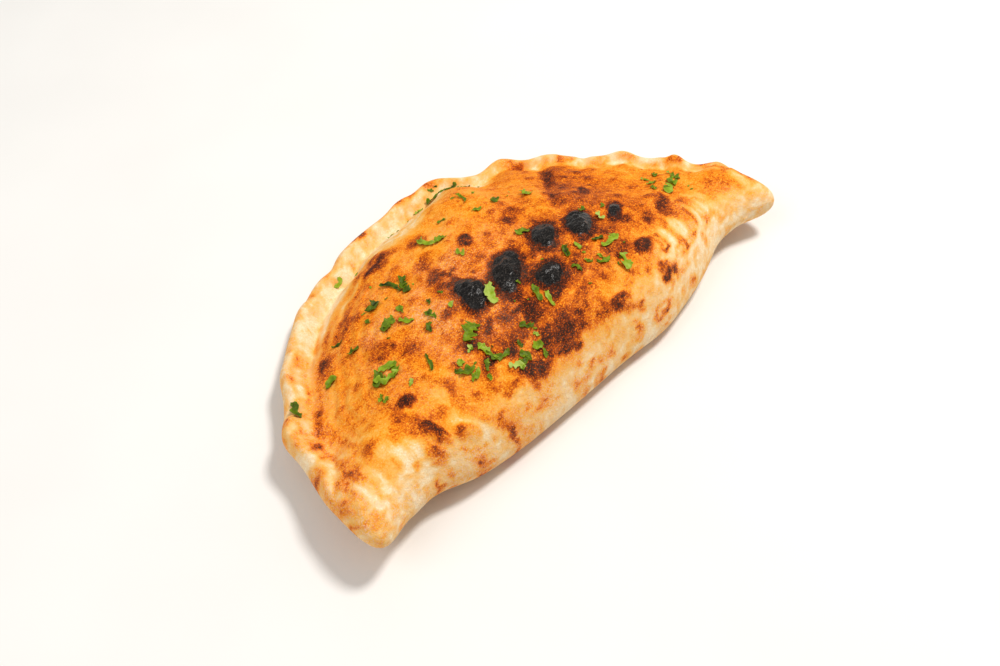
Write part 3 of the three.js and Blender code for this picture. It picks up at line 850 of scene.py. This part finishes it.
class Nodes:
    """Short calls for making a material's nodes."""

    def __init__(self, name):
        self.material = bpy.data.materials.new(name)
        self.material.use_nodes = True
        self.tree = self.material.node_tree
        self.shader = self.tree.nodes["Principled BSDF"]

    def new(self, kind, **settings):
        node = self.tree.nodes.new(kind)
        for key, value in settings.items():
            setattr(node, key, value)
        return node

    def link(self, source, target):
        self.tree.links.new(source, target)

    def attribute(self, name):
        return self.new("ShaderNodeAttribute", attribute_name=name).outputs["Fac"]

    def noise(self, scale, detail=2.0, rough=0.5, place=None):
        node = self.new("ShaderNodeTexNoise")
        node.inputs["Scale"].default_value = scale
        node.inputs["Detail"].default_value = detail
        node.inputs["Roughness"].default_value = rough
        self.link(place or self.place(), node.inputs["Vector"])
        return node.outputs["Fac"]

    def place(self):
        return self.new("ShaderNodeTexCoord").outputs["Object"]

    def math(self, operation, first, second):
        node = self.new("ShaderNodeMath", operation=operation)
        for socket, value in zip(node.inputs, (first, second)):
            if isinstance(value, (int, float)):
                socket.default_value = value
            else:
                self.link(value, socket)
        return node.outputs[0]

    def add_scaled(self, base, extra, amount, middle=0.5):
        """base + (extra - middle) * amount"""
        centred = self.math("SUBTRACT", extra, middle)
        return self.math("ADD", base, self.math("MULTIPLY", centred, amount))

    def step(self, value, low, high):
        node = self.new("ShaderNodeMapRange", interpolation_type="SMOOTHSTEP")
        node.inputs["From Min"].default_value = low
        node.inputs["From Max"].default_value = high
        self.link(value, node.inputs["Value"])
        return node.outputs["Result"]

    def colours(self, factor, stops):
        node = self.new("ShaderNodeValToRGB")
        elements = node.color_ramp.elements
        while len(elements) > 1:
            elements.remove(elements[0])
        elements[0].position, elements[0].color = stops[0]
        for position, colour in stops[1:]:
            elements.new(position).color = colour
        self.link(factor, node.inputs["Fac"])
        return node.outputs["Color"]

    def mix(self, factor, first, second):
        node = self.new("ShaderNodeMix", data_type="RGBA")
        self.link(factor, node.inputs["Factor"])
        for socket, value in ((node.inputs["A"], first), (node.inputs["B"], second)):
            if isinstance(value, tuple):
                socket.default_value = value
            else:
                self.link(value, socket)
        return node.outputs["Result"]

    def mix_number(self, factor, first, second):
        node = self.new("ShaderNodeMapRange")
        self.link(factor, node.inputs["Value"])
        node.inputs["To Min"].default_value = first
        node.inputs["To Max"].default_value = second
        return node.outputs["Result"]

    def bump(self, height, distance, strength=1.0, normal=None):
        node = self.new("ShaderNodeBump")
        node.inputs["Strength"].default_value = strength
        node.inputs["Distance"].default_value = distance
        self.link(height, node.inputs["Height"])
        if normal is not None:
            self.link(normal, node.inputs["Normal"])
        return node.outputs["Normal"]


# Colours of the dough by its browning, of flour, of the char's ash by its grain with painted glints,
# of the leaves by their tone with painted shade and painted highlights, and of the floor
TOAST_COLOURS = [
    (0.0, linear(244, 224, 186)),
    (0.15, linear(240, 200, 138)),
    (0.28, linear(240, 180, 88)),
    (0.42, linear(240, 158, 40)),
    (0.54, linear(236, 134, 14)),
    (0.66, linear(206, 96, 4)),
    (0.78, linear(150, 60, 4)),
    (0.9, linear(88, 32, 6)),
    (1.0, linear(44, 20, 10)),
]
FLOUR_COLOUR = linear(238, 204, 172)
# Grey ash of the char, partly real ash and partly lightened to stand in for painted glints
ASH_AND_GLINT_COLOURS = [
    (0.4, linear(14, 12, 12)),
    (0.58, linear(34, 31, 29)),
    (0.74, linear(84, 78, 73)),
]
LEAF_COLOURS = [
    (0.0, linear(34, 46, 0)),
    (0.35, linear(96, 118, 4)),
    (0.65, linear(138, 162, 26)),
    (1.0, linear(172, 190, 92)),
]
FLOOR_COLOURS = [
    (0.3, (0.80, 0.79, 0.77, 1)),
    (0.7, (0.83, 0.82, 0.80, 1)),
]


def crust_material():
    """Dough from pale to black by its browning, with flour on the pale parts and ash with painted glints
    on the black.
    """
    nodes = Nodes("baked_crust")
    place = nodes.place()
    coarse = nodes.noise(260, 3, 0.6, place)
    middle = nodes.noise(560, 2, 0.6, place)
    grain = nodes.noise(1200, 2, 0.6, place)
    toast = nodes.attribute("toast")
    spread = nodes.math("ADD", 0.22, nodes.math("MULTIPLY", toast, 0.12))
    finer = nodes.math("ADD", nodes.math("MULTIPLY", middle, 1.2), nodes.math("MULTIPLY", grain, 1.6))
    mottle = nodes.math("SUBTRACT", nodes.math("ADD", coarse, finer), 1.9)
    toast = nodes.math("ADD", toast, nodes.math("MULTIPLY", mottle, spread))
    specks = nodes.step(nodes.noise(1400, 1, 0.5, place), 0.5, 0.7)
    specks = nodes.math("MULTIPLY", specks, nodes.step(toast, 0.22, 0.6))
    toast = nodes.math("SUBTRACT", toast, nodes.math("MULTIPLY", specks, 0.2))
    colour = nodes.colours(toast, TOAST_COLOURS)

    flour = nodes.math("MULTIPLY", nodes.attribute("flour"), nodes.step(grain, 0.4, 0.66))
    flour = nodes.math("MULTIPLY", flour, nodes.mix_number(nodes.step(toast, 0.35, 0.75), 0.8, 0.1))
    colour = nodes.mix(flour, colour, FLOUR_COLOUR)

    char = nodes.attribute("char")
    char = nodes.add_scaled(char, coarse, 0.5)
    char = nodes.add_scaled(char, grain, 0.3)
    char = nodes.step(char, 0.2, 0.6)
    # The char's grey ash by its grain, with painted glints in it
    colour = nodes.mix(char, colour, nodes.colours(grain, ASH_AND_GLINT_COLOURS))
    nodes.link(colour, nodes.shader.inputs["Base Color"])

    rough = nodes.mix_number(char, 0.7, 0.24)
    nodes.link(rough, nodes.shader.inputs["Roughness"])
    nodes.shader.inputs["Specular IOR Level"].default_value = 0.13

    pits = nodes.math("MULTIPLY", grain, nodes.mix_number(char, 1.0, 0.25))
    relief = nodes.bump(pits, 0.0007, 0.6, nodes.bump(coarse, 0.0014, 0.5))
    nodes.link(relief, nodes.shader.inputs["Normal"])
    return nodes.material


def parsley_material():
    """Green leaf with veins, from dark to pale by its tone, which carries painted shade and highlights.
    """
    nodes = Nodes("parsley_leaf")
    place = nodes.place()
    veins = nodes.noise(700, 3, 0.6, place)
    # The tone attribute holds painted shade and painted highlights besides the leaf's own tone
    tone = nodes.add_scaled(nodes.attribute("tone"), veins, 0.5)
    nodes.link(nodes.colours(tone, LEAF_COLOURS), nodes.shader.inputs["Base Color"])
    nodes.shader.inputs["Roughness"].default_value = 0.5
    nodes.shader.inputs["Specular IOR Level"].default_value = 0.2
    nodes.link(nodes.bump(veins, 0.0004, 0.6), nodes.shader.inputs["Normal"])
    return nodes.material


def floor_material():
    """Pale matt floor, only there to be rendered on."""
    nodes = Nodes("pale_floor")
    colour = nodes.colours(nodes.noise(9, 2, 0.5), FLOOR_COLOURS)
    nodes.link(colour, nodes.shader.inputs["Base Color"])
    nodes.shader.inputs["Roughness"].default_value = 0.7
    return nodes.material


# The crust
def build_crust(material):
    """A top and a bottom sheet that share the outline, with their browning, char and flour."""
    top_x, top_y = sheet_places(TOP_EDGE_ROWS, TOP_MIDDLE_ROWS)
    low_x, low_y = sheet_places(BOTTOM_EDGE_ROWS, BOTTOM_MIDDLE_ROWS)
    top_z = top_height(top_x, top_y) + fine_relief(top_x, top_y)
    low_z = bottom_height(low_x, low_y)
    for x, y, z in ((top_x, top_y, top_z), (low_x, low_y, low_z)):
        for row in (0, -1):
            z[:, row] = lift(x[:, row]) + 0.5 * edge_thickness(x[:, row], y[:, row])
        for column in (0, -1):
            z[column] = z[column, 0]
    points = np.concatenate([
        to_part(top_x, top_y, top_z).reshape(-1, 3),
        to_part(low_x, low_y, low_z).reshape(-1, 3),
    ])
    faces = np.concatenate([
        grid_faces(*top_x.shape, 0, True),
        grid_faces(*low_x.shape, top_x.size, False),
    ])
    under = ramp(3, 14, inset(low_x, low_y))
    low_toast = toast_field(low_x, low_y) * (1 - under) + base_toast(low_x, low_y) * under
    values = {
        "toast": np.concatenate([toast_field(top_x, top_y).ravel(), low_toast.ravel()]),
        "char": np.concatenate([char_field(top_x, top_y).ravel(), np.zeros(low_x.size)]),
        "flour": np.concatenate([flour_field(top_x, top_y).ravel(), flour_field(low_x, low_y).ravel()]),
    }
    points, faces, values = merge_same(points, faces, values)
    return make_object("crust", points, faces, values, material)


# The parsley
def leaf_places(draw):
    """The larger leaves as listed, and the small flakes where the solid has them."""
    places = []
    for x, y, length, width, turn in LEAVES:
        places.append(dict(x=x, y=y, length=length, width=width, turn=turn))
    for x, y, spread, count in FLAKE_GROUPS:
        for n in range(count):
            angle = 2 * math.pi * (n + 0.6 * draw()) / count
            distance = spread * (0.35 + 0.65 * draw())
            length = FLAKE_GROWTH * (FLAKE_SHORTEST + (FLAKE_LONGEST - FLAKE_SHORTEST) * draw())
            width = length * (FLAKE_NARROWEST + (FLAKE_WIDEST - FLAKE_NARROWEST) * draw())
            places.append(dict(
                x=x + distance * math.cos(angle),
                y=y + distance * math.sin(angle),
                length=length,
                width=width,
                turn=360 * draw(),
            ))
    return places


def torn_side(u, source):
    """Share of the half width along one side of a leaf: straight cuts between a few random corners."""
    corners = source.randint(5, 10)
    places = np.r_[-1, np.sort(source.uniform(-0.9, 0.9, corners)), 1]
    widths = source.uniform(0.15, 1.15, corners + 2)
    return np.interp(u, places, widths) + source.uniform(-0.05, 0.05, len(u))


def build_leaf(leaf, source):
    """One piece of leaf, ragged and curled, lying on the crust: points, faces and tone with painted
    shade.
    """
    length, width = leaf["length"], leaf["width"]
    u = np.linspace(-1, 1, LEAF_STEPS_LONG)
    cut_near, cut_far = source.uniform(0.35, 0.97, 2)
    body = (1 - (np.abs(u) ** source.uniform(2, 6)) * np.where(u < 0, cut_near, cut_far)) ** 0.7
    left_side, right_side = torn_side(u, source), torn_side(u, source)
    skew = source.uniform(-0.5, 0.5)
    bend = source.uniform(-0.14, 0.14)
    v = np.linspace(-1, 1, LEAF_STEPS_WIDE)
    half = np.where(v[None, :] < 0, left_side[:, None], right_side[:, None]) * body[:, None]
    across = 0.58 * width * v[None, :] * half
    along = 0.5 * length * u[:, None] * np.ones_like(across) + skew * across
    across = across + bend * length * (1 - u[:, None] ** 2)
    cup = source.uniform(0.1, 0.42) * width * np.abs(v[None, :]) ** 1.3 * half
    arch = source.uniform(-0.02, 0.1) * length * u[:, None] ** 2
    wave = 0.6 * np.sin(5.5 * u[:, None] + source.uniform(0, 6)) * v[None, :] * min(1.0, width / 4)
    turn = math.radians(leaf["turn"])
    x = leaf["x"] + along * math.cos(turn) - across * math.sin(turn)
    y = leaf["y"] + along * math.sin(turn) + across * math.cos(turn)
    ground = top_height(x, y) + fine_relief(x, y)
    level = ground.mean()
    tilt = 0.85 * (ground - level)
    crumple = 0.5 * layered(along + 40 * leaf["x"], across + 40 * leaf["y"], 2.8, 500, 2)
    z = level + tilt + cup + arch + wave + crumple
    z = z - (z - ground).min() + 0.02
    upper = np.stack([x, y, z + LEAF_THICKNESS], -1).reshape(-1, 3)
    lower = np.stack([x, y, z], -1).reshape(-1, 3)
    points = np.concatenate([upper, lower])
    shift = len(upper)
    upper_faces = grid_faces(LEAF_STEPS_LONG, LEAF_STEPS_WIDE, 0, True)
    lower_faces = grid_faces(LEAF_STEPS_LONG, LEAF_STEPS_WIDE, shift, False)
    index = np.arange(shift).reshape(LEAF_STEPS_LONG, LEAF_STEPS_WIDE)
    loop = np.concatenate([index[:, 0], index[-1, 1:], index[-2::-1, -1], index[0, -2:0:-1]])
    following = np.roll(loop, -1)
    side_faces = np.stack([loop, loop + shift, following + shift, following], 1)
    faces = np.concatenate([upper_faces, lower_faces, side_faces])
    tone = source.uniform(0.14, 0.68) + (0.28 if source.rand() > 0.86 else 0.0)
    # Painted shade and highlight: lighter on the crumple's high places and the cupped-up edges, darker
    # in its hollows and along the middle, added to the leaf's own tone
    tone_with_painted_shade = tone + 0.5 * crumple + 0.16 * (np.abs(v)[None, :] - 0.5)
    return points, faces, np.tile(tone_with_painted_shade.reshape(-1), 2)


def crumb_places(source):
    """Tiny crumbs of leaf, near the larger pieces."""
    places = []
    for _ in range(CRUMBS):
        x, y = LEAVES[source.randint(len(LEAVES))][:2]
        length = source.uniform(CRUMB_SHORTEST, CRUMB_LONGEST)
        x += source.normal(0, CRUMB_SCATTER)
        y += source.normal(0, CRUMB_SCATTER)
        width = length * source.uniform(0.4, 0.8)
        turn = source.uniform(0, 360)
        if inset(np.array([x]), np.array([y]))[0] > CRUMB_INSET:
            places.append(dict(x=x, y=y, length=length, width=width, turn=turn))
    return places


def build_parsley(material):
    """All the pieces of leaf as one."""
    source = np.random.RandomState(LEAF_SEED)
    all_points, all_faces, all_tones_with_painted_shade = [], [], []
    start = 0
    for leaf in leaf_places(make_draw(FLAKE_SEED)) + crumb_places(source):
        points, faces, tone = build_leaf(leaf, source)
        all_points.append(to_part(points[:, 0], points[:, 1], points[:, 2]))
        all_faces.append(faces + start)
        all_tones_with_painted_shade.append(tone)
        start += len(points)
    faces = [[int(c) for c in face] for face in np.concatenate(all_faces)]
    values = {"tone": np.concatenate(all_tones_with_painted_shade)}
    return make_object("parsley", np.concatenate(all_points), faces, values, material)


# Camera: the photograph's place in the fold frame, its angles in degrees and its lens
CAMERA_TURN = 45.2
CAMERA_DOWN = 48.04
CAMERA_ROLL = -2.98
CAMERA_AT = (-307.6, -233.3, 468.5)
CAMERA_LENS = 42.48


def camera_axes():
    """The camera's right, up and forward directions in the part's frame."""
    turn, down, roll = (math.radians(a) for a in (CAMERA_TURN, CAMERA_DOWN, CAMERA_ROLL))
    forward = Vector((math.sin(turn) * math.cos(down), math.cos(turn) * math.cos(down), -math.sin(down)))
    level = Vector((math.cos(turn), -math.sin(turn), 0))
    upright = level.cross(forward)
    right = math.cos(roll) * level + math.sin(roll) * upright
    up = -math.sin(roll) * level + math.cos(roll) * upright
    return right, up, forward


def add_camera():
    """The camera that took the photograph."""
    right, up, forward = camera_axes()
    data = bpy.data.cameras.new("photo_view")
    data.lens = CAMERA_LENS
    data.sensor_width = 36
    data.clip_start = 0.01
    camera = bpy.data.objects.new("photo_view", data)
    x, y, z = CAMERA_AT
    turned = Matrix((right, up, -forward)).transposed().to_4x4()
    place = Vector((x - CENTRE[0], y - CENTRE[1], z)) * MM
    camera.matrix_world = Matrix.Translation(place) @ turned
    bpy.context.scene.collection.objects.link(camera)
    bpy.context.scene.camera = camera


def add_area_light(name, toward, distance, size, power, colour):
    """A round lamp that faces the middle of the part."""
    data = bpy.data.lights.new(name, "AREA")
    data.shape = "DISK"
    data.size = size
    data.energy = power
    data.color = colour
    light = bpy.data.objects.new(name, data)
    direction = Vector(toward).normalized()
    light.location = direction * distance
    light.rotation_euler = direction.to_track_quat("Z", "Y").to_euler()
    bpy.context.scene.collection.objects.link(light)


def add_lights():
    """A small key light high on the right, a wide fill from the near left and a pale sky."""
    right, _, forward = camera_axes()
    ahead = Vector((forward.x, forward.y, 0)).normalized()
    key = right * 0.75 + ahead * 0.35
    key_place = (key.x, key.y, 1.7)
    add_area_light("key", key_place, distance=1.6, size=0.35, power=20, colour=(1.0, 0.97, 0.93))
    fill = -right * 0.9 - ahead * 0.5
    fill_place = (fill.x, fill.y, 1.1)
    add_area_light("fill", fill_place, distance=1.8, size=1.4, power=9, colour=(1.0, 0.98, 0.95))
    world = bpy.data.worlds.new("studio")
    world.use_nodes = True
    sky = world.node_tree.nodes["Background"]
    sky.inputs["Color"].default_value = (1.0, 0.99, 0.97, 1)
    sky.inputs["Strength"].default_value = SKY_STRENGTH
    bpy.context.scene.world = world
    bpy.context.scene.view_settings.view_transform = "Standard"


def add_floor():
    """The floor, a stage piece and not a part of the calzone."""
    half = FLOOR_HALF
    points = [(-half, -half, 0), (half, -half, 0), (half, half, 0), (-half, half, 0)]
    floor = make_object("floor", points, [(0, 1, 2, 3)], {}, floor_material())


add_camera()
add_lights()
add_floor()

crust = build_crust(crust_material())
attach(crust, "root")
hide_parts("calzone")

parsley = build_parsley(parsley_material())
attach(parsley, "root")
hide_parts("calzone")
